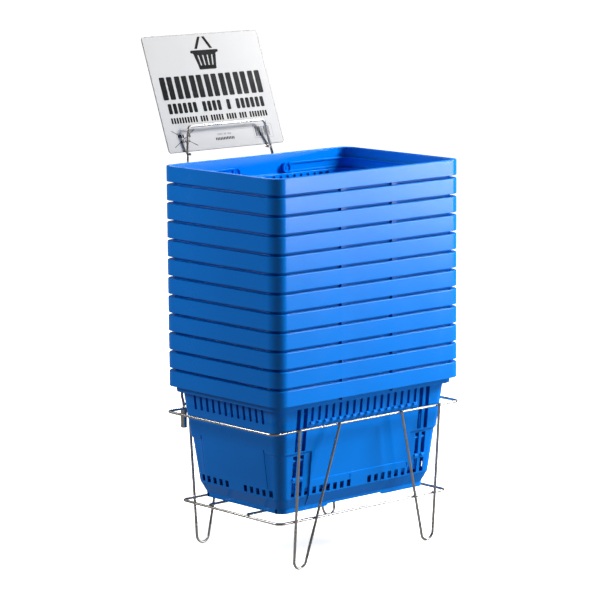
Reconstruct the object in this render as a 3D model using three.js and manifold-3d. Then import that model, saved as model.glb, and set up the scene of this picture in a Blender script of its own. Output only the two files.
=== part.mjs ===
// Twelve nested shopping baskets on a wire stand, with a sign in a wire holder behind them.
// Millimetres, +Z up. The long sides of the baskets run along X, the sign faces -Y,
// and the stand's feet touch z = 0.
import * as THREE from "three";
import Module from "manifold-3d";

// Basket shell
const LENGTH = 430;
const WIDTH = 300;
const HEIGHT = 223.4;
const RIM_CORNER = 24; // corner radius at the rim
const CORNER_TAPER = 0.18; // how much of each millimetre of inset comes off the corner radius
const CORNER_STEPS = 3;

// The stack
const COUNT = 12;
const PITCH = 32.4; // height from one rim to the next
const STACK_BASE = 92.8; // underside of the lowest basket

// Moulded shell section: [inset from the rim's outer face, height below the rim's top]
const SHELL_SECTION = [
  [49.2, -218.4],
  [49.2, -223.4],
  [46.7, -223.4],
  [46.7, -215.4],
  [38.2, -195.9],
  [29.6, -119],
  [26.9, -116],
  [18, -37.2],
  [9.2, -37.2],
  [6.8, -2.4],
  [2.2, -2.4],
  [2.2, -27.1],
  [0, -27.1],
  [0, 0],
  [8.8, 0],
  [11.3, -35],
  [20.2, -35],
  [29.1, -115.4],
  [31.8, -118.4],
  [40.4, -195.3],
  [49, -215.9],
];

// Handle pivots: one hole and one stacking lug near the middle of each end of the long sides
const PIVOT_X = 58.5;
const PIVOT_DROP = 25.5; // below the rim's top
const HOLE_RADIUS = 4.2;
const LUG = { halfLength: 7, outer: 5.5, inner: 9.4, top: -15, bottom: -32.1 };

// Handles: a flat strip that follows the rim and lies on the ledge
const STRIP_THICKNESS = 6;
const STRIP_HEIGHT = 18.4;
const STRIP_INSET = 14.6; // inset of the strip's middle
const STRIP_CORNER = 20;
const PIN_RADIUS = 3.9;
const PIN_END = 5.8; // inset of the pin's outer end
const ROUND_SIDES = 12;

// Wire
const WIRE = 2.4; // radius
const WIRE_SIDES = 8;
const GAP = 0.3; // between pieces that touch

// Stand
const UPPER_RING = { halfX: 216.6, halfY: 141.6, corner: 12, z: 243.5 };
const LOWER_RING = { halfX: 195.1, halfY: 129.6, corner: 12, z: 85 };
const CROSS_WIRE_Y = 50;
const CROSS_WIRE_REACH = 199;
const LEG = { outerX: 162.5, innerTopX: 71.5, innerFootX: 138.9, bend: 13 };
const SLEEVE = { x: 172, radius: 5.5, bore: 3.75, bottom: 207.5, top: 242.9 };

// Sign and its holder
const HOLDER = { end: 212, kink: 251, backY: 155.5, backZ: 263, topX: 88, topY: 229.5, topZ: 724 };
const SIGN = { width: 268, height: 214, thickness: 2, corner: 6, y: 226.8, z: 679.6 };
const SIGN_LEAN = THREE.MathUtils.degToRad(20.8);
const REAR_SUPPORT = { x: 91.6, frontY: 218.5, z: 675.9, rise: 112 };

const BLUE = { color: 0x0a63da, roughness: 0.25, metalness: 0 };
const STEEL = { color: 0xd6d6d4, roughness: 0.12, metalness: 1 };
const PRINTED = { color: 0xececec, roughness: 0.2, metalness: 0 };

const wasm = await Module();
wasm.setup();
const assembly = new THREE.Group();

function add(name, geometry, finish) {
  geometry.computeVertexNormals();
  const mesh = new THREE.Mesh(geometry, new THREE.MeshStandardMaterial(finish));
  mesh.name = name;
  assembly.add(mesh);
  return mesh;
}

// Surface through equal loops of points. An open row of loops is capped at both ends;
// a closed one runs from its last loop back to its first.
function skin(loops, closed = false) {
  const size = loops[0].length;
  const positions = loops.flat().flatMap((p) => [p.x, p.y, p.z]);
  const faces = [];
  const bands = closed ? loops.length : loops.length - 1;
  for (let i = 0; i < bands; i++) {
    const low = i * size;
    const high = ((i + 1) % loops.length) * size;
    for (let j = 0; j < size; j++) {
      const k = (j + 1) % size;
      faces.push(low + j, low + k, high + k);
      faces.push(low + j, high + k, high + j);
    }
  }
  if (!closed) {
    const last = (loops.length - 1) * size;
    for (let j = 1; j < size - 1; j++) {
      faces.push(0, j + 1, j);
      faces.push(last, last + j, last + j + 1);
    }
  }
  const geometry = new THREE.BufferGeometry();
  geometry.setAttribute("position", new THREE.Float32BufferAttribute(positions, 3));
  geometry.setIndex(faces);
  return geometry;
}

function toSolid(geometry) {
  const vertProperties = new Float32Array(geometry.attributes.position.array);
  const triVerts = new Uint32Array(geometry.index.array);
  return new wasm.Manifold(new wasm.Mesh({ numProp: 3, vertProperties, triVerts }));
}

function toGeometry(solid) {
  const mesh = solid.getMesh();
  const geometry = new THREE.BufferGeometry();
  geometry.setAttribute("position", new THREE.Float32BufferAttribute(mesh.vertProperties, 3));
  geometry.setIndex(Array.from(mesh.triVerts));
  return geometry;
}

// Rounded rectangle, anticlockwise from above
function rectangle(halfX, halfY, radius, z) {
  const centres = [
    [1, 1],
    [-1, 1],
    [-1, -1],
    [1, -1],
  ];
  return centres.flatMap(([sx, sy], quarter) =>
    Array.from({ length: CORNER_STEPS + 1 }, (_, step) => {
      const angle = (Math.PI / 2) * (quarter + step / CORNER_STEPS);
      const x = sx * (halfX - radius) + radius * Math.cos(angle);
      const y = sy * (halfY - radius) + radius * Math.sin(angle);
      return new THREE.Vector3(x, y, z);
    }),
  );
}

// Regular polygon about an axis that runs along Y, with a corner at its top, or along Z
function disc(radius, sides, centre, axis) {
  const phase = axis === "y" ? 0 : 0.5;
  return Array.from({ length: sides }, (_, i) => {
    const angle = (2 * Math.PI * (i + phase)) / sides;
    const a = radius * Math.cos(angle);
    const b = radius * Math.sin(angle);
    const offset = axis === "y" ? new THREE.Vector3(b, 0, a) : new THREE.Vector3(a, b, 0);
    return offset.add(centre);
  });
}

// Round bar along Y
function crossPin(radius, x, yLow, yHigh, z) {
  const ends = [yLow, yHigh].map((y) => new THREE.Vector3(x, y, z));
  return skin(ends.map((end) => disc(radius, ROUND_SIDES, end, "y")));
}

function block(low, high) {
  const size = high.clone().sub(low);
  const middle = high.clone().add(low).multiplyScalar(0.5);
  const loops = [low.z, high.z].map((z) => [
    new THREE.Vector3(middle.x + size.x / 2, middle.y + size.y / 2, z),
    new THREE.Vector3(middle.x - size.x / 2, middle.y + size.y / 2, z),
    new THREE.Vector3(middle.x - size.x / 2, middle.y - size.y / 2, z),
    new THREE.Vector3(middle.x + size.x / 2, middle.y - size.y / 2, z),
  ]);
  return skin(loops);
}

// Replaces the corners of a path with bends of the given radius
function bend(points, radius, steps, closed = false) {
  const count = points.length;
  const path = [];
  points.forEach((point, i) => {
    if (!closed && (i === 0 || i === count - 1)) {
      path.push(point);
      return;
    }
    const into = point.clone().sub(points[(i + count - 1) % count]).normalize();
    const out = points[(i + 1) % count].clone().sub(point).normalize();
    const turn = into.angleTo(out);
    const reach = radius * Math.tan(turn / 2);
    const start = point.clone().addScaledVector(into, -reach);
    const inward = out.clone().addScaledVector(into, -Math.cos(turn)).normalize();
    const centre = start.clone().addScaledVector(inward, radius);
    for (let step = 0; step <= steps; step++) {
      const angle = (turn * step) / steps;
      const spot = centre.clone().addScaledVector(inward, -radius * Math.cos(angle));
      path.push(spot.addScaledVector(into, radius * Math.sin(angle)));
    }
  });
  return path;
}

// Sweeps a section along a path. The section is a list of [sideways, up] offsets.
function sweep(path, section, up, closed = false) {
  const count = path.length;
  let raised = up.clone();
  const loops = path.map((point, i) => {
    const before = path[closed ? (i + count - 1) % count : Math.max(i - 1, 0)];
    const after = path[closed ? (i + 1) % count : Math.min(i + 1, count - 1)];
    const along = after.clone().sub(before).normalize();
    raised = raised.clone().addScaledVector(along, -raised.dot(along)).normalize();
    const sideways = raised.clone().cross(along);
    return section.map(([a, b]) =>
      point.clone().addScaledVector(sideways, a).addScaledVector(raised, b),
    );
  });
  return skin(loops, closed);
}

function wire(path, up, closed = false) {
  const section = disc(WIRE, WIRE_SIDES, new THREE.Vector3(), "z").map((p) => [p.x, p.y]);
  return sweep(path, section, up, closed);
}

const Z_UP = new THREE.Vector3(0, 0, 1);
const Y_UP = new THREE.Vector3(0, 1, 0);

// One basket, its rim's top at z = 0
function basketShell() {
  const loops = SHELL_SECTION.map(([inset, z]) => {
    const radius = RIM_CORNER - CORNER_TAPER * inset;
    return rectangle(LENGTH / 2 - inset, WIDTH / 2 - inset, radius, z);
  });
  let shell = toSolid(skin(loops));
  for (const side of [-1, 1]) {
    for (const end of [-1, 1]) {
      shell = shell.add(toSolid(stackingLug(side, end)));
      shell = shell.subtract(toSolid(pivotHole(side, end)));
    }
  }
  return toGeometry(shell);
}

function stackingLug(side, end) {
  const y = [WIDTH / 2 - LUG.outer, WIDTH / 2 - LUG.inner].map((reach) => side * reach);
  const low = new THREE.Vector3(end * PIVOT_X - LUG.halfLength, Math.min(...y), LUG.bottom);
  const high = new THREE.Vector3(end * PIVOT_X + LUG.halfLength, Math.max(...y), LUG.top);
  return block(low, high);
}

function pivotHole(side, end) {
  const y = [WIDTH / 2 - 4, WIDTH / 2 - 14].map((reach) => side * reach);
  return crossPin(HOLE_RADIUS, end * PIVOT_X, Math.min(...y), Math.max(...y), -PIVOT_DROP);
}

// A U-shaped handle that reaches from the pivots to one end of the basket
function handle(end) {
  const armY = WIDTH / 2 - STRIP_INSET;
  const gripX = end * (LENGTH / 2 - STRIP_INSET);
  const pivotX = end * PIVOT_X;
  const corners = [
    [pivotX, -end * armY],
    [gripX, -end * armY],
    [gripX, end * armY],
    [pivotX, end * armY],
  ].map(([x, y]) => new THREE.Vector3(x, y, -PIVOT_DROP));
  const t = STRIP_THICKNESS / 2;
  const h = STRIP_HEIGHT / 2;
  const section = [
    [t, h],
    [-t, h],
    [-t, -h],
    [t, -h],
  ];
  let solid = toSolid(sweep(bend(corners, STRIP_CORNER, CORNER_STEPS), section, Z_UP));
  for (const side of [-1, 1]) {
    const faces = [armY - t, armY + t].map((y) => side * y);
    const boss = crossPin(h, pivotX, Math.min(...faces), Math.max(...faces), -PIVOT_DROP);
    const reach = [armY, WIDTH / 2 - PIN_END].map((y) => side * y);
    const pin = crossPin(PIN_RADIUS, pivotX, Math.min(...reach), Math.max(...reach), -PIVOT_DROP);
    solid = solid.add(toSolid(boss)).add(toSolid(pin));
  }
  return toGeometry(solid);
}

function buildStack() {
  const shell = basketShell();
  const left = handle(-1);
  const right = handle(1);
  for (let level = 1; level <= COUNT; level++) {
    const label = String(level).padStart(2, "0");
    const rimTop = STACK_BASE + HEIGHT + (level - 1) * PITCH;
    add("basket_" + label, shell.clone(), BLUE).position.z = rimTop;
    add("handle_left_" + label, left.clone(), BLUE).position.z = rimTop;
    add("handle_right_" + label, right.clone(), BLUE).position.z = rimTop;
  }
}

function ring({ halfX, halfY, corner, z }) {
  const corners = [
    [halfX, halfY],
    [-halfX, halfY],
    [-halfX, -halfY],
    [halfX, -halfY],
  ].map(([x, y]) => new THREE.Vector3(x, y, z));
  return wire(bend(corners, corner, 4, true), Z_UP, true);
}

// Distance from the middle plane at which the legs touch the outside of both rings
function legReach(z) {
  const out = 2 * WIRE + GAP;
  const slope = (UPPER_RING.halfY - LOWER_RING.halfY) / (UPPER_RING.z - LOWER_RING.z);
  return LOWER_RING.halfY + out + slope * (z - LOWER_RING.z);
}

// Hairpin leg: an upright outer wire and a slanting inner one, joined at the foot
function leg(end, side) {
  const top = UPPER_RING.z + WIRE;
  const foot = WIRE;
  const corners = [
    [LEG.outerX, top],
    [LEG.outerX, foot],
    [LEG.innerFootX, foot],
    [LEG.innerTopX, top],
  ].map(([x, z]) => new THREE.Vector3(end * x, side * legReach(z), z));
  return wire(bend(corners, LEG.bend, 4), new THREE.Vector3(0, side, 0));
}

function crossWire(y) {
  const z = LOWER_RING.z + 2 * WIRE + GAP;
  const ends = [-CROSS_WIRE_REACH, CROSS_WIRE_REACH].map((x) => new THREE.Vector3(x, y, z));
  return wire(ends, Z_UP);
}

function sleeve(end) {
  const y = UPPER_RING.halfY + WIRE + GAP + SLEEVE.radius;
  const profile = [
    [SLEEVE.radius, SLEEVE.bottom],
    [SLEEVE.radius, SLEEVE.top],
    [SLEEVE.bore, SLEEVE.top],
    [SLEEVE.bore, SLEEVE.bottom],
  ];
  const loops = profile.map(([radius, z]) =>
    disc(radius, ROUND_SIDES, new THREE.Vector3(end * SLEEVE.x, y, z), "z"),
  );
  return skin(loops, true);
}

function buildStand() {
  add("ring_upper", ring(UPPER_RING), STEEL);
  add("ring_lower", ring(LOWER_RING), STEEL);
  add("cross_wire_front", crossWire(-CROSS_WIRE_Y), STEEL);
  add("cross_wire_back", crossWire(CROSS_WIRE_Y), STEEL);
  add("leg_front_left", leg(-1, -1), STEEL);
  add("leg_front_right", leg(1, -1), STEEL);
  add("leg_back_left", leg(-1, 1), STEEL);
  add("leg_back_right", leg(1, 1), STEEL);
  add("sleeve_left", sleeve(-1), STEEL);
  add("sleeve_right", sleeve(1), STEEL);
}

// One wire from sleeve to sleeve, with the front hoop at its top
function holderFrame() {
  const sleeveY = UPPER_RING.halfY + WIRE + GAP + SLEEVE.radius;
  const half = [
    [SLEEVE.x, sleeveY, HOLDER.end],
    [SLEEVE.x, sleeveY, HOLDER.kink],
    [SLEEVE.x - 1, HOLDER.backY, HOLDER.backZ],
    [HOLDER.topX, HOLDER.topY, HOLDER.topZ],
  ];
  const mirrored = half.map(([x, y, z]) => [-x, y, z]).reverse();
  const corners = [...half, ...mirrored].map((p) => new THREE.Vector3(...p));
  return wire(bend(corners, 8, 3), Y_UP);
}

// Lies across the tops of the back legs and joins the holder's two uprights
function holderCrossbar() {
  const y = UPPER_RING.halfY + WIRE + GAP + SLEEVE.radius;
  const z = UPPER_RING.z + 2 * WIRE + 2 * GAP;
  const reach = SLEEVE.x - WIRE - GAP;
  const ends = [-reach, reach].map((x) => new THREE.Vector3(x, y, z));
  return wire(ends, Z_UP);
}

// Carries the sign's lower edge and runs up behind it
function holderRearSupport() {
  const offset = SIGN.thickness / 2 + GAP + WIRE;
  const up = new THREE.Vector3(0, Math.sin(SIGN_LEAN), Math.cos(SIGN_LEAN));
  const behind = new THREE.Vector3(0, Math.cos(SIGN_LEAN), -Math.sin(SIGN_LEAN));
  const { x, frontY, z, rise } = REAR_SUPPORT;
  const start = new THREE.Vector3(x, SIGN.y, SIGN.z).addScaledVector(behind, offset);
  const turn = start.clone().addScaledVector(up, (z - start.z) / up.z);
  const crest = turn.clone().addScaledVector(up, rise);
  const half = [new THREE.Vector3(x, frontY, z), turn, crest];
  const mirrored = half.map((p) => new THREE.Vector3(-p.x, p.y, p.z)).reverse();
  return wire(bend([...half, ...mirrored], 6, 3), new THREE.Vector3(0, 0, 1));
}

function signBoard() {
  const { width, height, thickness, corner } = SIGN;
  const faces = [-thickness / 2, thickness / 2];
  return skin(faces.map((z) => rectangle(width / 2, height / 2, corner, z)));
}

function buildSign() {
  add("holder_frame", holderFrame(), STEEL);
  add("holder_crossbar", holderCrossbar(), STEEL);
  add("holder_rear_support", holderRearSupport(), STEEL);
  const tilt = new THREE.Group();
  tilt.position.set(0, SIGN.y, SIGN.z);
  tilt.rotation.x = Math.PI / 2 - SIGN_LEAN;
  const board = add("sign_board", signBoard(), PRINTED);
  board.position.y = SIGN.height / 2;
  tilt.add(board);
  assembly.add(tilt);
}

buildStack();
buildStand();
buildSign();

export default assembly;
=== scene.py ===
"""Twelve nested shopping baskets on a chrome wire stand, with a sign behind them."""
import math

import bmesh
import bpy
from mathutils import Matrix, Vector


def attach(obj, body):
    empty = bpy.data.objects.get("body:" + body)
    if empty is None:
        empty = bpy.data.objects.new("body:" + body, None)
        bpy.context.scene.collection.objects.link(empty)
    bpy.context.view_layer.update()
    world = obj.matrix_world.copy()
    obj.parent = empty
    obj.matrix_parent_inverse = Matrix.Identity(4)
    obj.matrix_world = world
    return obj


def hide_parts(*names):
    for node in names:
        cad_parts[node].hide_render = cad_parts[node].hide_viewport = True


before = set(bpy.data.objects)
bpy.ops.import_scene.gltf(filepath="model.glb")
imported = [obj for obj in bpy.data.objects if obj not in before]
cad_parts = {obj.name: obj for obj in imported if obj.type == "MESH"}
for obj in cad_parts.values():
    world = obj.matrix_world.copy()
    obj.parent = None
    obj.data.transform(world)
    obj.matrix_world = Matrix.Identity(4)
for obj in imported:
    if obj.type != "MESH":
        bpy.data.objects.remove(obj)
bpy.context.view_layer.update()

MM = 0.001

# ---------------------------------------------------------------- sizes, in millimetres

LENGTH, WIDTH, HEIGHT = 430.0, 300.0, 223.4
RIM_CORNER, CORNER_TAPER = 24.0, 0.18
CORNER_STEPS = 9
COUNT = 12
PITCH = 32.4
STACK_BASE = 92.8

# Shell section: inset and height below the rim's top, with the fillet radius of each
# corner, and the inset in the middle of each side where it differs
SHELL = [
    (49.2, -218.4, 0.0, 49.2),
    (49.2, -223.4, 0.6, 49.2),
    (46.7, -223.4, 0.6, 46.7),
    (46.7, -215.4, 1.2, 46.7),
    (38.2, -195.9, 3.0, 35.9),
    (29.6, -119.0, 0.9, 27.24),
    (26.9, -116.0, 0.9, 26.9),
    (18.0, -37.2, 1.0, 18.0),
    (9.2, -37.2, 1.0, 9.2),
    (6.8, -2.4, 1.2, 6.8),
    (2.2, -2.4, 0.8, 2.2),
    (2.2, -27.1, 0.7, 2.2),
    (0.0, -27.1, 0.7, 0.0),
    (0.0, 0.0, 1.5, 0.0),
    (8.8, 0.0, 1.8, 8.8),
    (11.3, -35.0, 1.4, 11.3),
    (20.2, -35.0, 1.6, 20.2),
    (29.1, -115.4, 0.9, 29.1),
    (31.8, -118.4, 0.9, 29.43),
    (40.4, -195.3, 3.0, 38.0),
    (49.0, -215.9, 0.0, 49.0),
]
FILLET_STEPS = 3
MIDDLE_X, MIDDLE_Y = 115.0, 84.5  # half lengths of the flush middle of the sides
MIDDLE_EDGE_X, MIDDLE_EDGE_Y = 0.35, 7.0  # half widths of the steps at its ends

PIVOT_X, PIVOT_DROP = 58.5, 25.5
HOLE_RADIUS = 4.2

SLOT_WIDTH = 5.8
SLOT_TOP, SLOT_END = -38.4, -63.6
LONG_PITCH, LONG_SLOTS = 15.95, 16
SHORT_PITCH, SHORT_SLOTS = 16.2, 12
WIDE_X = (134.7, 150.0)
WIDE_WIDTH = 8.6
NUB_WIDTH, NUB_INSET = 7.2, 17.8
SHORT_SLOT_HALF = 3.0
WALL_TOP_INSET, WALL_TOP, WALL_SLOPE = 18.0, -37.2, 8.9 / 78.8
WINDOW_BANDS = ((-114.2, SLOT_TOP), (-159.5, -121.5), (-194.0, -168.5))  # wide end windows
FOOT_SLOT_HALF = 4.3
LONG_FOOT_SLOTS, LONG_FOOT_START, LONG_FOOT_BAND = 7, 8.0, (-193.8, -181.2)
SHORT_FOOT_SLOTS, SHORT_FOOT_START, SHORT_FOOT_BAND = 5, 8.1, (-193.5, -182.0)
NOTCH_X, NOTCH_HALF, NOTCH_BAND = (-22.0, 112.0), 0.9, (-180.0, -171.4)
FLOOR_PITCH, FLOOR_COLUMNS, FLOOR_ROWS = 40, 7, (-72, -36, 36, 72)
FLOOR_HALF_X, FLOOR_HALF_Y, FLOOR_BAND = 13, 2.5, (-220, -214)
LONG_CUT, SHORT_CUT = (96, 146), (161, 211)  # reach of a side's cutters from the middle

STRIP_INSET, STRIP_CORNER = 14.6, 20.0
STRIP_HALF_HEIGHT, STRIP_HALF_THICK = 9.2, 3.0
DISH_RIM, DISH_FACE = 2.2, 1.2
BOSS_RADIUS, BOSS_FACE = 2.6, 2.2
PIN_RADIUS, PIN_INSET = 3.9, 5.8

WIRE = 2.4
GAP = 0.3
UPPER = dict(half_x=216.6, half_y=141.6, corner=12.0, z=243.5)
LOWER = dict(half_x=195.1, half_y=129.6, corner=12.0, z=85.0)
CROSS_Y, CROSS_REACH = 50.0, 199.0
LEG_OUTER, LEG_INNER_TOP, LEG_INNER_FOOT, LEG_BEND = 162.5, 71.5, 138.9, 13.0
SLEEVE_X, SLEEVE_RADIUS, SLEEVE_BORE = 172.0, 5.5, 3.75
SLEEVE_LOW, SLEEVE_HIGH = 207.5, 242.9
SIGN_WIDTH, SIGN_HEIGHT, SIGN_THICK, SIGN_CORNER = 268.0, 214.0, 2.0, 6.0
SIGN_Y, SIGN_Z = 226.8, 679.6
SUPPORT_X, SUPPORT_Z, SUPPORT_RISE = 91.6, 675.9, 112.0
LEAN = math.radians(20.8)


# ---------------------------------------------------------------- mesh helpers

def new_object(name, mesh):
    obj = bpy.data.objects.new(name, mesh)
    bpy.context.scene.collection.objects.link(obj)
    return obj


def mesh_from(name, points, faces):
    mesh = bpy.data.meshes.new(name)
    mesh.from_pydata([tuple(c * MM for c in p) for p in points], [], faces)
    mesh.validate()
    mesh.update()
    return mesh


def outward(mesh):
    bm = bmesh.new()
    bm.from_mesh(mesh)
    bmesh.ops.recalc_face_normals(bm, faces=bm.faces)
    bm.to_mesh(mesh)
    bm.free()


def smooth(mesh, angle=32.0):
    """Smooth faces with sharp edges where the surface turns by more than the angle."""
    bm = bmesh.new()
    bm.from_mesh(mesh)
    limit = math.radians(angle)
    for face in bm.faces:
        face.smooth = True
    for edge in bm.edges:
        edge.smooth = len(edge.link_faces) == 2 and edge.calc_face_angle(0.0) < limit
    bm.to_mesh(mesh)
    bm.free()


def skin_faces(count, size, closed):
    faces = []
    for i in range(count if closed else count - 1):
        low, high = i * size, ((i + 1) % count) * size
        for j in range(size):
            k = (j + 1) % size
            faces.append((low + j, low + k, high + k, high + j))
    if not closed:
        faces.append(tuple(reversed(range(size))))
        faces.append(tuple((count - 1) * size + j for j in range(size)))
    return faces


def skin(name, loops, closed=False):
    """Mesh through equal loops of points, capped at both ends unless closed."""
    points = [p for loop in loops for p in loop]
    mesh = mesh_from(name, points, skin_faces(len(loops), len(loops[0]), closed))
    outward(mesh)
    return mesh


def join(name, meshes):
    bm = bmesh.new()
    for mesh in meshes:
        bm.from_mesh(mesh)
    joined = bpy.data.meshes.new(name)
    bm.to_mesh(joined)
    bm.free()
    return joined


def prism(low, high):
    """Solid between two loops of four points."""
    return skin("prism", [low, high])


def block(x0, x1, y0, y1, z0, z1):
    return prism(
        [(x0, y0, z0), (x1, y0, z0), (x1, y1, z0), (x0, y1, z0)],
        [(x0, y0, z1), (x1, y0, z1), (x1, y1, z1), (x0, y1, z1)],
    )


def cylinder_y(radius, x, y0, y1, z, sides=24):
    loops = []
    for y in (y0, y1):
        loop = []
        for i in range(sides):
            a = 2 * math.pi * i / sides
            loop.append((x + radius * math.sin(a), y, z + radius * math.cos(a)))
        loops.append(loop)
    return skin("bar", loops)


def boolean(mesh, tool, operation):
    """The mesh joined with, or cut by, a tool mesh."""
    target = new_object("target", mesh)
    other = new_object("tool", tool)
    modifier = target.modifiers.new("b", "BOOLEAN")
    modifier.operation = operation
    modifier.solver = "EXACT"
    modifier.object = other
    graph = bpy.context.evaluated_depsgraph_get()
    made = bpy.data.meshes.new_from_object(target.evaluated_get(graph))
    bpy.data.objects.remove(target)
    bpy.data.objects.remove(other)
    return made


def fillet(corners, closed):
    """Rounds the corners (x, y, radius) of a flat path, FILLET_STEPS + 1 points each."""
    path = []
    count = len(corners)
    for i, (x, y, radius) in enumerate(corners):
        here = Vector((x, y))
        if radius == 0 or (not closed and i in (0, count - 1)):
            path.append(here)
            continue
        before = Vector(corners[i - 1][:2]) - here
        after = Vector(corners[(i + 1) % count][:2]) - here
        a, b = before.normalized(), after.normalized()
        turn = math.pi - a.angle(b)
        reach = min(radius * math.tan(turn / 2), 0.45 * before.length, 0.45 * after.length)
        start, end = here + a * reach, here + b * reach
        for step in range(FILLET_STEPS + 1):
            t = step / FILLET_STEPS
            path.append((1 - t) ** 2 * start + 2 * t * (1 - t) * here + t * t * end)
    return path


# ---------------------------------------------------------------- basket

def rim_top(level):
    return STACK_BASE + HEIGHT + (level - 1) * PITCH


def side_loop(corner_inset, middle_inset, z):
    """One level of the shell: rounded corners, and a flush middle on each side."""
    radius = RIM_CORNER - CORNER_TAPER * corner_inset
    half_x, half_y = LENGTH / 2 - corner_inset, WIDTH / 2 - corner_inset
    mid_x, mid_y = LENGTH / 2 - middle_inset, WIDTH / 2 - middle_inset
    loop = []
    for quarter, (sx, sy) in enumerate(((1, 1), (-1, 1), (-1, -1), (1, -1))):
        for step in range(CORNER_STEPS + 1):
            angle = math.pi / 2 * (quarter + step / CORNER_STEPS)
            x = sx * (half_x - radius) + radius * math.cos(angle)
            y = sy * (half_y - radius) + radius * math.sin(angle)
            loop.append((x, y, z))
        if quarter % 2 == 0:
            edge, e = MIDDLE_X, MIDDLE_EDGE_X
            steps = ((edge + e, half_y), (edge - e, mid_y), (e - edge, mid_y), (-edge - e, half_y))
            loop += [(sx * x, sy * y, z) for x, y in steps]
        else:
            edge, e = MIDDLE_Y, MIDDLE_EDGE_Y
            steps = ((edge + e, half_x), (edge - e, mid_x), (e - edge, mid_x), (-edge - e, half_x))
            loop += [(sx * x, sy * y, z) for y, x in steps]
    return loop


def wall_inset(z):
    """Inset of the outer face of the upper wall, carried on downwards."""
    return WALL_TOP_INSET + WALL_SLOPE * (WALL_TOP - z)


def shell_mesh():
    corner = fillet([(x, z, r) for x, z, r, m in SHELL], False)
    middle = fillet([(m, z, r) for x, z, r, m in SHELL], False)
    loops = [side_loop(c.x, m.x, (c.y + m.y) / 2) for c, m in zip(corner, middle)]
    return skin("shell", loops)


def spread(pitch, count):
    return [(i - (count - 1) / 2) * pitch for i in range(count)]


def cut_long(x0, x1, z0, z1, side):
    return block(x0, x1, side * LONG_CUT[0], side * LONG_CUT[1], z0, z1)


def cut_short(y0, y1, z0, z1, end):
    return block(end * SHORT_CUT[0], end * SHORT_CUT[1], y0, y1, z0, z1)


def window_cutters():
    cutters = []
    half = SLOT_WIDTH / 2
    for side in (-1, 1):
        for x in spread(LONG_PITCH, LONG_SLOTS):
            cutters.append(cut_long(x - half, x + half, SLOT_END, SLOT_TOP, side))
        for end in (-1, 1):
            for x in WIDE_X:
                low, high = end * x - WIDE_WIDTH / 2, end * x + WIDE_WIDTH / 2
                for bottom, top in WINDOW_BANDS:
                    cutters.append(cut_long(low, high, bottom, top, side))
            for i in range(1, LONG_FOOT_SLOTS + 1):
                x = end * (LONG_FOOT_START + LONG_PITCH * i)
                cutters.append(cut_long(x - FOOT_SLOT_HALF, x + FOOT_SLOT_HALF, *LONG_FOOT_BAND, side))
        cutters.append(foot_arch(side))
        cutters.append(label_recess(side))
        for x in NOTCH_X:
            y = WIDTH / 2 - wall_inset(-176)
            y0, y1 = side * (y - 1.0), side * (y + 4)
            cutters.append(block(x - NOTCH_HALF, x + NOTCH_HALF, y0, y1, *NOTCH_BAND))
    for end in (-1, 1):
        for y in spread(SHORT_PITCH, SHORT_SLOTS):
            low, high = y - SHORT_SLOT_HALF, y + SHORT_SLOT_HALF
            cutters.append(cut_short(low, high, SLOT_END - 1, SLOT_TOP, end))
        for i in range(1, SHORT_FOOT_SLOTS + 1):
            reach = SHORT_FOOT_START + SHORT_PITCH * i
            for y in (reach, -reach):
                cutters.append(cut_short(y - FOOT_SLOT_HALF, y + FOOT_SLOT_HALF, *SHORT_FOOT_BAND, end))
        for side in (-1, 1):
            cutters.append(short_groove(end, side))
    for x in spread(FLOOR_PITCH, FLOOR_COLUMNS):
        for y in FLOOR_ROWS:
            y0, y1 = y - FLOOR_HALF_Y, y + FLOOR_HALF_Y
            cutters.append(block(x - FLOOR_HALF_X, x + FLOOR_HALF_X, y0, y1, *FLOOR_BAND))
    return join("cutters", cutters)


def short_groove(end, side):
    """Thin upright groove near each edge of a short side."""
    loops = []
    for depth in (1.4, -2.0):
        loop = []
        for y, z in ((-0.6, -179), (0.6, -179), (1.3, -110), (-1.3, -110)):
            x = LENGTH / 2 - wall_inset(z) - depth
            loop.append((end * x, side * (MIDDLE_Y - 1.5) + y, z))
        loops.append(loop)
    return prism(*loops)


def foot_arch(side):
    y0, y1 = side * 99, side * 106
    return prism(
        [(-67, y0, -224.5), (67, y0, -224.5), (67, y1, -224.5), (-67, y1, -224.5)],
        [(-61, y0, -219.6), (61, y0, -219.6), (61, y1, -219.6), (-61, y1, -219.6)],
    )


def label_recess(side):
    """Shallow recess with soft slanted sides in the middle of a long side."""
    loops = []
    for depth, rise in ((1.2, 0.0), (-1.2, 1.0)):
        loop = []
        for x, z in ((-100, -168.2), (100, -168.2), (79, -84), (-79, -84)):
            x += math.copysign(24 * rise, x)
            z += (-1.8 if z < -100 else 22) * rise
            y = WIDTH / 2 - wall_inset(z) - depth
            loop.append((x, side * y, z))
        loops.append(loop)
    return prism(*loops)


def wedge(x0, x1, side, z_top, wall, face):
    """Small sill with a sloped top that stands out of a long side."""
    section = ((wall, z_top), (face + 1.4, z_top - 0.6), (face, z_top - 3.0), (face, z_top - 3.6),
               (wall, z_top - 3.6))
    loops = [[(x, side * (WIDTH / 2 - inset), z) for inset, z in section] for x in (x0, x1)]
    return skin("wedge", loops)


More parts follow.
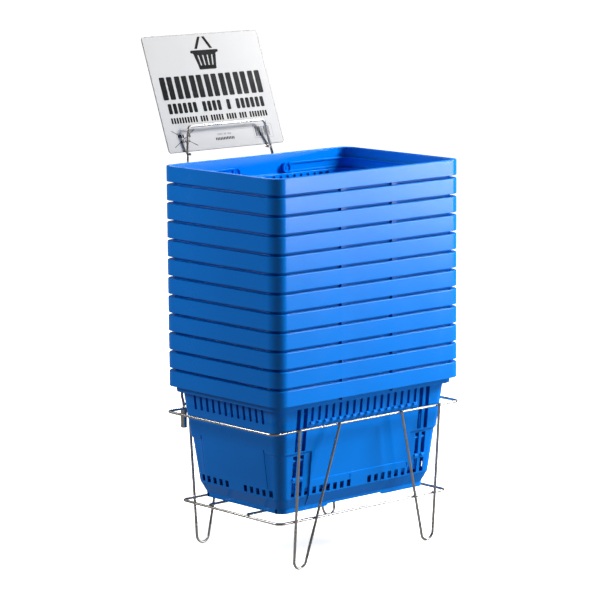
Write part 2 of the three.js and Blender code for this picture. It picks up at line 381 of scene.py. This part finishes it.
def added_details():
    """Nubs under the slots, sills under the end windows and lugs beside the pivots."""
    pieces = []
    for side in (-1, 1):
        for x in spread(LONG_PITCH, LONG_SLOTS):
            half = NUB_WIDTH / 2
            pieces.append(wedge(x - half, x + half, side, SLOT_END - 0.05, 22.6, NUB_INSET))
        for end in (-1, 1):
            for x in WIDE_X:
                half = WIDE_WIDTH / 2 - 0.8
                pieces.append(wedge(end * x - half, end * x + half, side, -159.55, 35.4, 31.9))
            x = end * PIVOT_X
            for x0, x1, inset in ((x - 7, x + 0.5, 4.6), (x + 0.45, x + 7, 7.4)):
                y0, y1 = side * (WIDTH / 2 - 9.6), side * (WIDTH / 2 - inset)
                pieces.append(block(x0, x1, y0, y1, -32.0, -14))
    return join("added", pieces)


def crescent(side, x):
    """Curved slot beside a pivot, through the inner wall of the rim only."""
    arc = [math.radians(a) for a in range(35, 150, 10)]
    outer = [(-math.sin(a) * 9.6, math.cos(a) * 9.6) for a in arc]
    inner = [(-math.sin(a) * 6.4, math.cos(a) * 6.4) for a in reversed(arc)]
    loops = []
    for inset in (5.0, 14.0):
        y = side * (WIDTH / 2 - inset)
        loops.append([(x + dx, y, dz - PIVOT_DROP + 0.4) for dx, dz in outer + inner])
    return skin("crescent", loops)


def pivot_cutters():
    cutters = []
    for side in (-1, 1):
        for end in (-1, 1):
            x = end * PIVOT_X
            y0, y1 = side * (WIDTH / 2 - 4), side * (WIDTH / 2 - 14)
            cutters.append(cylinder_y(HOLE_RADIUS, x, y0, y1, -PIVOT_DROP))
            cutters.append(crescent(side, x))
    return join("pivots", cutters)


def basket_mesh():
    mesh = boolean(shell_mesh(), added_details(), "UNION")
    mesh = boolean(mesh, join("all", [window_cutters(), pivot_cutters()]), "DIFFERENCE")
    smooth(mesh)
    mesh.name = "basket"
    return mesh


# ---------------------------------------------------------------- handle

def rounded_path(points, radius, steps, closed=False):
    """Replaces the corners of a path in space with bends."""
    points = [Vector(p) for p in points]
    count = len(points)
    path = []
    for i, point in enumerate(points):
        if not closed and i in (0, count - 1):
            path.append(point)
            continue
        into = (point - points[i - 1]).normalized()
        out = (points[(i + 1) % count] - point).normalized()
        turn = into.angle(out)
        reach = radius * math.tan(turn / 2)
        start = point - into * reach
        inward = (out - into * math.cos(turn)).normalized()
        centre = start + inward * radius
        for step in range(steps + 1):
            a = turn * step / steps
            path.append(centre - inward * radius * math.cos(a) + into * radius * math.sin(a))
    return path


def sweep(name, path, section, up, closed=False):
    raised = Vector(up)
    loops = []
    count = len(path)
    for i, point in enumerate(path):
        before = path[i - 1] if closed or i else path[0]
        after = path[(i + 1) % count] if closed or i < count - 1 else path[-1]
        along = (after - before).normalized()
        raised = (raised - along * raised.dot(along)).normalized()
        sideways = raised.cross(along)
        loops.append([tuple(point + sideways * a + raised * b) for a, b in section])
    return skin(name, loops, closed)


def handle_section():
    """Strip with a bead along each edge, as (inward, up) offsets."""
    h, t, web = STRIP_HALF_HEIGHT, STRIP_HALF_THICK, 1.1
    half = [
        (t, h, 0.9), (t, h - 3.0, 0.7), (web, h - 3.9, 0.7),
        (web, 3.9 - h, 0.7), (t, 3.0 - h, 0.7), (t, -h, 0.9),
        (-t, -h, 0.9), (-t, 3.0 - h, 0.7), (-web, 3.9 - h, 0.7),
        (-web, h - 3.9, 0.7), (-t, h - 3.0, 0.7), (-t, h, 0.9),
    ]
    return [tuple(p) for p in fillet(half, True)]


def handle_mesh(end):
    arm_y = WIDTH / 2 - STRIP_INSET
    grip_x = end * (LENGTH / 2 - STRIP_INSET)
    pivot_x = end * PIVOT_X
    corners = [(pivot_x + end * 6, -end * arm_y), (grip_x, -end * arm_y)]
    corners += [(grip_x, end * arm_y), (pivot_x + end * 6, end * arm_y)]
    points = [(x, y, -PIVOT_DROP) for x, y in corners]
    path = rounded_path(points, STRIP_CORNER, 10)
    mesh = sweep("strip", path, handle_section(), (0, 0, 1))
    t, h = STRIP_HALF_THICK, STRIP_HALF_HEIGHT
    for side in (-1, 1):
        y0, y1 = side * (arm_y - t), side * (arm_y + t)
        eye = cylinder_y(h, pivot_x, y0, y1, -PIVOT_DROP, 40)
        mesh = boolean(mesh, eye, "UNION")
        y0, y1 = side * (arm_y - t - 1), side * (arm_y - DISH_FACE)
        dish = cylinder_y(h - DISH_RIM, pivot_x, y0, y1, -PIVOT_DROP, 32)
        mesh = boolean(mesh, dish, "DIFFERENCE")
        y0, y1 = side * (arm_y - BOSS_FACE), side * (arm_y + 1)
        boss = cylinder_y(BOSS_RADIUS, pivot_x, y0, y1, -PIVOT_DROP)
        mesh = boolean(mesh, boss, "UNION")
        y0, y1 = side * arm_y, side * (WIDTH / 2 - PIN_INSET)
        pin = cylinder_y(PIN_RADIUS, pivot_x, y0, y1, -PIVOT_DROP)
        mesh = boolean(mesh, pin, "UNION")
    smooth(mesh)
    mesh.name = "handle_left" if end < 0 else "handle_right"
    return mesh


# ---------------------------------------------------------------- wire

WIRE_SIDES = 16


def round_section(radius, sides=WIRE_SIDES):
    ring = []
    for i in range(sides):
        a = 2 * math.pi * (i + 0.5) / sides
        ring.append((radius * math.cos(a), radius * math.sin(a)))
    return ring


def wire_mesh(name, path, up, closed=False):
    """Round wire with its ends lightly broken."""
    if not closed:
        ends = []
        for a, b in ((path[0], path[1]), (path[-1], path[-2])):
            ends.append(a + (b - a).normalized() * 0.5)
        path = [path[0], ends[0]] + path[1:-1] + [ends[1], path[-1]]
    mesh = sweep(name, path, round_section(WIRE), up, closed)
    if not closed:
        size = WIRE_SIDES
        for start, point in ((0, path[0]), (len(mesh.vertices) - size, path[-1])):
            centre = point * MM
            for v in mesh.vertices[start:start + size]:
                v.co = centre + (v.co - centre) * 0.8
    smooth(mesh, 40)
    return mesh


def ring_path(half_x, half_y, corner, z):
    corners = [(half_x, half_y, z), (-half_x, half_y, z), (-half_x, -half_y, z), (half_x, -half_y, z)]
    return rounded_path(corners, corner, 10, True)


def leg_reach(z):
    slope = (UPPER["half_y"] - LOWER["half_y"]) / (UPPER["z"] - LOWER["z"])
    return LOWER["half_y"] + 2 * WIRE + GAP + slope * (z - LOWER["z"])


def leg_path(end, side):
    top, foot = UPPER["z"] + WIRE, WIRE
    corners = [(LEG_OUTER, top), (LEG_OUTER, foot), (LEG_INNER_FOOT, foot), (LEG_INNER_TOP, top)]
    points = [(end * x, side * leg_reach(z), z) for x, z in corners]
    return rounded_path(points, LEG_BEND, 10)


SLEEVE_Y = UPPER["half_y"] + WIRE + GAP + SLEEVE_RADIUS


def sleeve_mesh(end):
    profile = [
        (SLEEVE_RADIUS, SLEEVE_LOW + 0.5), (SLEEVE_RADIUS, SLEEVE_HIGH - 0.5),
        (SLEEVE_RADIUS - 0.5, SLEEVE_HIGH), (SLEEVE_BORE + 0.4, SLEEVE_HIGH),
        (SLEEVE_BORE, SLEEVE_HIGH - 0.4), (SLEEVE_BORE, SLEEVE_LOW + 0.4),
        (SLEEVE_BORE + 0.4, SLEEVE_LOW), (SLEEVE_RADIUS - 0.5, SLEEVE_LOW),
    ]
    loops = []
    for radius, z in profile:
        loop = [(end * SLEEVE_X + a, SLEEVE_Y + b, z) for a, b in round_section(radius, 28)]
        loops.append(loop)
    mesh = skin("sleeve", loops, True)
    smooth(mesh, 40)
    return mesh


def holder_frame_path():
    half = [
        (SLEEVE_X, SLEEVE_Y, 212.0), (SLEEVE_X, SLEEVE_Y, 251.0),
        (SLEEVE_X - 1, 155.5, 263.0), (88.0, 229.5, 724.0),
    ]
    points = half + [(-x, y, z) for x, y, z in reversed(half)]
    return rounded_path(points, 8.0, 7)


def rear_support_path():
    offset = SIGN_THICK / 2 + GAP + WIRE
    up = Vector((0, math.sin(LEAN), math.cos(LEAN)))
    behind = Vector((0, math.cos(LEAN), -math.sin(LEAN)))
    start = Vector((SUPPORT_X, SIGN_Y, SIGN_Z)) + behind * offset
    turn = start + up * ((SUPPORT_Z - start.z) / up.z)
    half = [Vector((SUPPORT_X, 218.5, SUPPORT_Z)), turn, turn + up * SUPPORT_RISE]
    points = half + [Vector((-p.x, p.y, p.z)) for p in reversed(half)]
    return rounded_path(points, 6.0, 7)


def bead_mesh(spots):
    """Small weld beads: (centre, radii)."""
    meshes = []
    for centre, radii in spots:
        loops = []
        rings, sides = 6, 12
        for i in range(rings + 1):
            lat = math.pi * (i + 0.35) / (rings + 0.7) - math.pi / 2
            loop = []
            for j in range(sides):
                lon = 2 * math.pi * j / sides
                ripple = 1 + 0.06 * math.sin(3 * lon + centre[0]) + 0.05 * math.cos(2 * lon + i)
                loop.append((
                    centre[0] + radii[0] * ripple * math.cos(lat) * math.cos(lon),
                    centre[1] + radii[1] * ripple * math.cos(lat) * math.sin(lon),
                    centre[2] + radii[2] * math.sin(lat),
                ))
            loops.append(loop)
        meshes.append(skin("bead", loops))
    mesh = join("beads", meshes)
    smooth(mesh, 60)
    return mesh


# ---------------------------------------------------------------- materials

def material(name):
    mat = bpy.data.materials.new(name)
    mat.use_nodes = True
    tree = mat.node_tree
    shader = tree.nodes["Principled BSDF"]
    return mat, tree, shader


def noise(tree, scale, detail=3.0, stretch=None, roughness=0.5):
    coords = tree.nodes.new("ShaderNodeTexCoord")
    node = tree.nodes.new("ShaderNodeTexNoise")
    node.inputs["Scale"].default_value = scale
    node.inputs["Detail"].default_value = detail
    node.inputs["Roughness"].default_value = roughness
    source = coords.outputs["Object"]
    if stretch:
        mapping = tree.nodes.new("ShaderNodeMapping")
        mapping.inputs["Scale"].default_value = stretch
        tree.links.new(source, mapping.inputs["Vector"])
        source = mapping.outputs["Vector"]
    tree.links.new(source, node.inputs["Vector"])
    return node.outputs["Fac"]


def ramp(tree, source, stops):
    node = tree.nodes.new("ShaderNodeValToRGB")
    elements = node.color_ramp.elements
    while len(elements) < len(stops):
        elements.new(0.5)
    for element, (position, value) in zip(elements, stops):
        element.position = position
        element.color = value if len(value) == 4 else (*value, 1)
    tree.links.new(source, node.inputs["Fac"])
    return node.outputs["Color"]


def grey(v):
    return (v, v, v, 1)


def smooth_range(tree, source, from_range, to_range):
    """Smooth step of a value from one range to another."""
    node = tree.nodes.new("ShaderNodeMapRange")
    node.interpolation_type = "SMOOTHSTEP"
    node.inputs["From Min"].default_value, node.inputs["From Max"].default_value = from_range
    node.inputs["To Min"].default_value, node.inputs["To Max"].default_value = to_range
    tree.links.new(source, node.inputs["Value"])
    return node.outputs["Result"]


def bump(tree, shader, layers):
    """Chain of bump nodes: (height, strength, distance)."""
    previous = None
    for height, strength, distance in layers:
        node = tree.nodes.new("ShaderNodeBump")
        node.inputs["Strength"].default_value = strength
        node.inputs["Distance"].default_value = distance
        tree.links.new(height, node.inputs["Height"])
        if previous:
            tree.links.new(previous, node.inputs["Normal"])
        previous = node.outputs["Normal"]
    tree.links.new(previous, shader.inputs["Normal"])


def plastic(name, low, high):
    """Injection-moulded polypropylene: faint flow marks, fine grain, light handling scuffs."""
    mat, tree, shader = material(name)
    flow = noise(tree, 7.0, 2.0, (1, 1, 2))
    tree.links.new(ramp(tree, flow, [(0.3, low), (0.7, high)]), shader.inputs["Base Color"])
    scuff = noise(tree, 22.0, 5.0, roughness=0.6)
    gloss = ramp(tree, scuff, [(0.35, grey(0.2)), (0.62, grey(0.225)), (0.75, grey(0.29))])
    tree.links.new(gloss, shader.inputs["Roughness"])
    grain = noise(tree, 1500.0, 2.0)
    waves = noise(tree, 14.0, 1.0)
    bump(tree, shader, [(waves, 0.1, 0.0005), (grain, 0.05, 0.00005)])
    shader.inputs["IOR"].default_value = 1.5
    shader.inputs["Specular IOR Level"].default_value = 0.2
    return mat


def chrome(name, tone, rough):
    mat, tree, shader = material(name)
    cloud = noise(tree, 30.0, 3.0)
    low = tuple(c * 0.9 for c in tone)
    tree.links.new(ramp(tree, cloud, [(0.3, low), (0.7, tone)]), shader.inputs["Base Color"])
    streak = noise(tree, 60.0, 3.0)
    gloss = ramp(tree, streak, [(0.3, grey(rough)), (0.8, grey(rough + 0.1))])
    tree.links.new(gloss, shader.inputs["Roughness"])
    bump(tree, shader, [(noise(tree, 260.0, 2.0), 0.05, 0.00003)])
    shader.inputs["Metallic"].default_value = 1.0
    return mat


def sheet_plastic(name, tone, rough, variation=0.04):
    mat, tree, shader = material(name)
    cloud = noise(tree, 12.0, 3.0)
    low = tuple(c * (1 - variation) for c in tone)
    tree.links.new(ramp(tree, cloud, [(0.3, low), (0.7, tone)]), shader.inputs["Base Color"])
    haze = noise(tree, 90.0, 4.0)
    gloss = ramp(tree, haze, [(0.3, grey(rough)), (0.8, grey(rough + 0.08))])
    tree.links.new(gloss, shader.inputs["Roughness"])
    bump(tree, shader, [(noise(tree, 25.0, 1.0), 0.05, 0.0003)])
    shader.inputs["IOR"].default_value = 1.5
    shader.inputs["Specular IOR Level"].default_value = 0.2
    return mat


BLUE = plastic("blue_plastic", (0.0, 0.182, 0.71), (0.0, 0.2, 0.77))
CHROME = chrome("chrome_wire", (0.62, 0.59, 0.55), 0.24)
WELD = chrome("weld_metal", (0.32, 0.29, 0.27), 0.3)
BOARD = sheet_plastic("sign_face", (0.46, 0.46, 0.455), 0.14)
INK = sheet_plastic("sign_print", (0.012, 0.012, 0.013), 0.14, 0.3)
# Grey print on the sign, also used for the painted shade along the board's edges
INK_GREY_AND_EDGE_SHADE = sheet_plastic("sign_print_grey_and_edge_shade", (0.25, 0.25, 0.26), 0.4, 0.1)


def piece(name, mesh, mat, body, replaced=(), at=(0, 0, 0)):
    obj = new_object(name, mesh)
    obj.location = Vector(at) * MM
    if not mesh.materials:
        mesh.materials.append(mat)
    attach(obj, body)
    if replaced:
        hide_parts(*replaced)
    return obj


# ---------------------------------------------------------------- the set

def build_baskets():
    basket = basket_mesh()
    handles = {"left": handle_mesh(-1), "right": handle_mesh(1)}
    for level in range(1, COUNT + 1):
        label = f"{level:02d}"
        at = (0, 0, rim_top(level))
        obj = piece(f"basket_{label}_shell", basket, BLUE, f"basket_{label}_body",
                    [f"basket_{label}"], at)
        weighted = obj.modifiers.new("normals", "WEIGHTED_NORMAL")
        weighted.keep_sharp = True
        for hand, mesh in handles.items():
            piece(f"handle_{hand}_{label}_strip", mesh, BLUE, f"handle_{hand}_{label}_body",
                  [f"handle_{hand}_{label}"], at)


def build_stand():
    def wire(node, path, up, closed=False):
        piece(node + "_wire", wire_mesh(node, path, up, closed), CHROME, "stand",
              [node])

    wire("ring_upper", ring_path(**UPPER), (0, 0, 1), True)
    wire("ring_lower", ring_path(**LOWER), (0, 0, 1), True)
    z = LOWER["z"] + 2 * WIRE + GAP
    for name, y in (("cross_wire_front", -CROSS_Y), ("cross_wire_back", CROSS_Y)):
        path = [Vector((-CROSS_REACH, y, z)), Vector((CROSS_REACH, y, z))]
        wire(name, path, (0, 0, 1))
    for front, side in (("front", -1), ("back", 1)):
        for hand, end in (("left", -1), ("right", 1)):
            wire(f"leg_{front}_{hand}", leg_path(end, side), (0, side, 0))
    for hand, end in (("left", -1), ("right", 1)):
        piece(f"sleeve_{hand}_tube", sleeve_mesh(end), CHROME, "stand",
              [f"sleeve_{hand}"])
    spots = []
    for end in (-1, 1):
        for side in (-1, 1):
            for x in (LEG_OUTER, LEG_INNER_TOP):
                y = side * (UPPER["half_y"] + WIRE + 0.1)
                spots.append(((end * x, y, UPPER["z"] + 0.4), (2.3, 1.3, 2.2)))
            inner = LEG_INNER_FOOT + (LEG_INNER_TOP - LEG_INNER_FOOT) * LOWER["z"] / UPPER["z"]
            for x in (LEG_OUTER, inner):
                y = side * (LOWER["half_y"] + WIRE + 0.1)
                spots.append(((end * x, y, LOWER["z"] + 0.2), (2.4, 1.3, 2.2)))
            crossing = (end * LOWER["half_x"], side * CROSS_Y, LOWER["z"] + WIRE + 0.1)
            spots.append((crossing, (2.2, 2.2, 1.2)))
        spots.append(((end * SLEEVE_X, UPPER["half_y"] + WIRE + 0.2, 236.0), (2.6, 1.6, 6.0)))
    piece("stand_weld_beads", bead_mesh(spots), WELD, "stand")


def build_sign():
    def wire(node, path, up):
        piece(node + "_wire", wire_mesh(node, path, up), CHROME, "sign_holder",
              [node])

    wire("holder_frame", holder_frame_path(), (0, 1, 0))
    z = UPPER["z"] + 2 * WIRE + 2 * GAP
    reach = SLEEVE_X - WIRE - GAP
    wire("holder_crossbar", [Vector((-reach, SLEEVE_Y, z)), Vector((reach, SLEEVE_Y, z))], (0, 0, 1))
    wire("holder_rear_support", rear_support_path(), (0, 0, 1))
    spots = []
    for end in (-1, 1):
        spots.append(((end * (reach + 0.2), SLEEVE_Y, z), (1.5, 2.3, 2.3)))
        spots.append(((end * 94.0, 220.0, 676.4), (2.2, 2.6, 2.4)))
    piece("holder_weld_beads", bead_mesh(spots), WELD, "sign_holder")

    board = rounded_board()
    piece("sign_board_sheet", board, BOARD, "sign", ["sign_board"])
    dark, light = sign_print()
    piece("sign_print_dark", dark, INK, "sign")
    # Grey print, and the painted edge shade along the board's rim
    piece("sign_print_grey_and_edge_shade", light, INK_GREY_AND_EDGE_SHADE, "sign")


def sign_point(u, v, out):
    """Point on the sign: across, up from its lower edge, and out of its front face."""
    up = Vector((0, math.sin(LEAN), math.cos(LEAN)))
    front = Vector((0, -math.cos(LEAN), math.sin(LEAN)))
    return Vector((u, SIGN_Y, SIGN_Z)) + up * v + front * (SIGN_THICK / 2 + out)


def rounded_rectangle(u0, u1, v0, v1, radius, steps=6):
    loop = []
    corners = ((u1, v1, -1, -1), (u0, v1, 1, -1), (u0, v0, 1, 1), (u1, v0, -1, 1))
    for quarter, (u, v, du, dv) in enumerate(corners):
        for step in range(steps + 1):
            a = math.pi / 2 * (quarter + step / steps)
            loop.append((u + du * radius + radius * math.cos(a), v + dv * radius + radius * math.sin(a)))
    return loop


def rounded_board():
    half, thick = SIGN_WIDTH / 2, SIGN_THICK
    loops = []
    for inset, out in ((0.35, -thick), (0.0, -thick + 0.35), (0.0, -0.35), (0.35, 0.0)):
        outline = rounded_rectangle(inset - half, half - inset, inset, SIGN_HEIGHT - inset,
                                    SIGN_CORNER - inset, 10)
        loops.append([sign_point(u, v, out) for u, v in outline])
    mesh = skin("board", loops)
    smooth(mesh)
    return mesh


PRINT_THICK = 0.12


def patch(outline):
    """Thin raised patch in the shape of an outline on the sign's face: print, or the painted edge shade
    along the board's rim.
    """
    low = [sign_point(u, v, 0.02) for u, v in outline]
    high = [sign_point(u, v, PRINT_THICK) for u, v in outline]
    return skin("patch", [low, high])


def bar(u0, u1, v0, v1, radius=0.8):
    return patch(rounded_rectangle(u0, u1, v0, v1, min(radius, 0.49 * (v1 - v0), 0.49 * (u1 - u0)), 3))


def basket_pictogram():
    """Plain picture of a hand basket with its two handles up."""
    base, top = 150.0, 183.0
    shapes = [
        bar(-32, 32, top - 5.5, top, 2.6),
        bar(-20, 20, base - 3.0, base + 4.5, 2.4),
        patch([(24, base + 23.5), (27.5, top - 5), (-27.5, top - 5), (-24, base + 23.5)]),
    ]
    for i in range(5):
        low, high = 8.4 * (i - 2), 10.6 * (i - 2)
        shapes.append(patch([
            (low + 2.9, base), (high + 4.0, base + 24), (high - 4.0, base + 24), (low - 2.9, base),
        ]))
    for lean in (-1, 1):
        foot, peak = lean * 17.5, lean * 4.6
        shapes.append(patch([
            (foot + 3.3, top + 2.5), (peak + 3.1, top + 25),
            (peak - 3.1, top + 25), (foot - 3.3, top + 2.5),
        ]))
    return shapes


def text_row(u0, u1, v0, v1, words, stroke):
    """Row of upright strokes in word groups, in place of lettering."""
    shapes = []
    total = sum(words) + 0.9 * (len(words) - 1)
    step = (u1 - u0) / total
    u = u0
    for count in words:
        for _ in range(count):
            shapes.append(bar(u, u + step * stroke, v0, v1, 0.12 * (v1 - v0)))
            u += step
        u += 0.9 * step
    return shapes


def sign_print():
    dark = basket_pictogram()
    for i in range(7):
        u = -117 + 33.9 * i
        dark += [bar(u, u + 12.0, 96, 138, 2.0), bar(u + 16.0, u + 28.0, 96, 138, 2.0)]
    dark += text_row(-112, 112, 70, 89, [6, 4, 1, 6], 0.72)
    dark += text_row(-112, 112, 52, 63, [10, 3, 5, 4, 3, 7], 0.66)
    for i, width in enumerate((1.6, 0.7, 1.1, 2.0, 0.7, 1.4, 0.8, 1.9, 0.7, 1.2, 1.6, 0.8)):
        u = 72.0 + 2.9 * i
        dark.append(bar(u, u + width, 16.0, 34.0, 0.1))
    dark += text_row(-22, 22, 15.5, 20.5, [12], 0.6)
    dark += text_row(-106, -76, 26, 32, [3, 2], 0.6) + text_row(-101, -80, 17, 21, [5], 0.6)
    for rise in (-1, 1):
        outline = [(-66, 24 + 15 * rise), (-66, 25.2 + 15 * rise), (-118, 25.2 - 15 * rise),
                   (-118, 24 - 15 * rise)]
        dark.append(patch(outline))
    light = text_row(-16, 16, 24.5, 28.0, [4, 2, 3], 0.6)
    # The thin grey bars along all four edges of the board are painted edge shade, not print
    edge, high = SIGN_WIDTH / 2 - 0.6, SIGN_HEIGHT - 0.6
    for v in (0.6, high - 0.6):
        light.append(bar(6 - edge, edge - 6, v, v + 0.6, 0.1))
    for u in (-edge, edge - 0.6):
        light.append(bar(u, u + 0.6, 6.6, high - 6, 0.1))
    code_frame = ((68, 112, 12.6, 13.2), (68, 112, 37, 37.6), (68, 68.6, 13, 37), (111.4, 112, 13, 37))
    for u0, u1, v0, v1 in code_frame:
        light.append(bar(u0, u1, v0, v1, 0.1))
    return join("print_dark", dark), join("print_grey_and_edge_shade", light)


build_baskets()
build_stand()
build_sign()


# ---------------------------------------------------------------- studio

def floor_material():
    """Pale matt floor with a glow that rises to the backdrop's white away from the set."""
    mat, tree, shader = material("floor")
    shader.inputs["Base Color"].default_value = (0.9, 0.9, 0.9, 1)
    shader.inputs["Roughness"].default_value = 0.95
    shader.inputs["Specular IOR Level"].default_value = 0.0
    coords = tree.nodes.new("ShaderNodeTexCoord")
    distance = tree.nodes.new("ShaderNodeVectorMath")
    distance.operation = "LENGTH"
    tree.links.new(coords.outputs["Object"], distance.inputs[0])
    glow = smooth_range(tree, distance.outputs["Value"], (0.3, 2.6), (0.8, 1.0))
    shader.inputs["Emission Color"].default_value = (1, 1, 1, 1)
    tree.links.new(glow, shader.inputs["Emission Strength"])
    return mat


FLOOR_RADII = (450.0, 30000.0)


def build_floor():
    """Round patch under the set and the floor around it, hidden from reflections and bounced light."""
    steps = 96
    mat = floor_material()
    rims = []
    for radius in FLOOR_RADII:
        turn = [2 * math.pi * i / steps for i in range(steps)]
        rims.append([(radius * math.cos(a), radius * math.sin(a), 0) for a in turn])
    near = new_object("floor_near", mesh_from("floor_near", rims[0], [tuple(range(steps))]))
    ring = [(i, (i + 1) % steps, steps + (i + 1) % steps, steps + i) for i in range(steps)]
    far = new_object("floor_far", mesh_from("floor_far", rims[0] + rims[1], ring))
    for part in (near, far):
        part.data.materials.append(mat)
        part.visible_glossy = False
        part.visible_diffuse = False


def area_light(name, position, target, width, height, radiance):
    data = bpy.data.lights.new(name, "AREA")
    data.shape = "RECTANGLE"
    data.size, data.size_y = width, height
    data.energy = radiance * math.pi * width * height
    light = bpy.data.objects.new(name, data)
    bpy.context.scene.collection.objects.link(light)
    light.location = position
    direction = Vector(target) - Vector(position)
    light.rotation_euler = direction.to_track_quat("-Z", "Y").to_euler()
    light.visible_camera = False
    return light


AZIMUTH, ELEVATION = math.radians(-41.373), math.radians(9.221)
ROLL = math.radians(-0.454)
BACK = Vector((
    math.sin(AZIMUTH) * math.cos(ELEVATION),
    -math.cos(AZIMUTH) * math.cos(ELEVATION),
    math.sin(ELEVATION),
))
RIGHT = Vector((math.cos(AZIMUTH), math.sin(AZIMUTH), 0))
UP = BACK.cross(RIGHT)
LENS, SENSOR, CAMERA_DISTANCE = 175.18, 36.0, 5.0764
TARGET_ACROSS, TARGET_HEIGHT = -0.02319, 0.4315


def build_camera():
    target = RIGHT * TARGET_ACROSS + Vector((0, 0, TARGET_HEIGHT))
    data = bpy.data.cameras.new("camera")
    data.sensor_width = SENSOR
    data.lens = LENS
    data.clip_end = 200.0
    camera = bpy.data.objects.new("camera", data)
    bpy.context.scene.collection.objects.link(camera)
    right = RIGHT * math.cos(ROLL) + UP * math.sin(ROLL)
    up = UP * math.cos(ROLL) - RIGHT * math.sin(ROLL)
    turn = Matrix((right, up, BACK)).transposed()
    camera.matrix_world = Matrix.Translation(target + BACK * CAMERA_DISTANCE) @ turn.to_4x4()
    bpy.context.scene.camera = camera


def build_world():
    """White to the camera. To everything else a dim room with a paler floor and back wall."""
    world = bpy.data.worlds.new("studio")
    bpy.context.scene.world = world
    world.use_nodes = True
    tree = world.node_tree
    tree.nodes.clear()
    links = tree.links
    coords = tree.nodes.new("ShaderNodeTexCoord")
    dot = tree.nodes.new("ShaderNodeVectorMath")
    dot.operation = "DOT_PRODUCT"
    toward = Vector((-BACK.x, -BACK.y, 0)).normalized()
    dot.inputs[1].default_value = toward
    links.new(coords.outputs["Generated"], dot.inputs[0])
    wall = smooth_range(tree, dot.outputs["Value"], (0.35, 0.85), (0.1, 0.13))
    height = tree.nodes.new("ShaderNodeSeparateXYZ")
    links.new(coords.outputs["Generated"], height.inputs[0])
    lower = smooth_range(tree, height.outputs["Z"], (0.03, -0.25), (0.0, 0.24))
    total = tree.nodes.new("ShaderNodeMath")
    total.operation = "ADD"
    links.new(wall, total.inputs[0])
    links.new(lower, total.inputs[1])
    path = tree.nodes.new("ShaderNodeLightPath")
    mix = tree.nodes.new("ShaderNodeMix")
    mix.data_type = "FLOAT"
    links.new(path.outputs["Is Camera Ray"], mix.inputs[0])
    links.new(total.outputs[0], mix.inputs[2])
    mix.inputs[3].default_value = 1.05
    background = tree.nodes.new("ShaderNodeBackground")
    links.new(mix.outputs[0], background.inputs["Strength"])
    output = tree.nodes.new("ShaderNodeOutputWorld")
    links.new(background.outputs[0], output.inputs["Surface"])


# Area lights: name, position, target, width and height in metres, and radiance
LIGHTS = (
    ("left", (-1.45, 1.15, 1.35), (0, 0, 0.5), 0.8, 0.8, 11.0),
    ("right", (2.5, -1.4, 2.3), (0, 0, 0.45), 0.8, 1.4, 66.0),
    ("glint", (2.15, -1.19, 1.96), (0, 0, 0.3), 0.45, 0.6, 14.0),
    ("key_left", (1.83, -2.62, 0.52), (0, 0, 0.52), 0.34, 0.65, 25.0),
    ("key_right", (2.42, -2.22, 0.52), (0, 0, 0.52), 0.62, 0.65, 25.0),
    ("back_right", (1.75, 0.45, 2.4), (0, 0, 0.45), 0.9, 0.9, 13.0),
)
NOT_REFLECTED = "right"  # its reflection would wash out the print and the wires


def build_lights():
    for name, *placing in LIGHTS:
        light = area_light(name, *placing)
        light.visible_glossy = name != NOT_REFLECTED


build_floor()
build_camera()
build_world()
build_lights()
bpy.context.scene.view_settings.view_transform = "Standard"
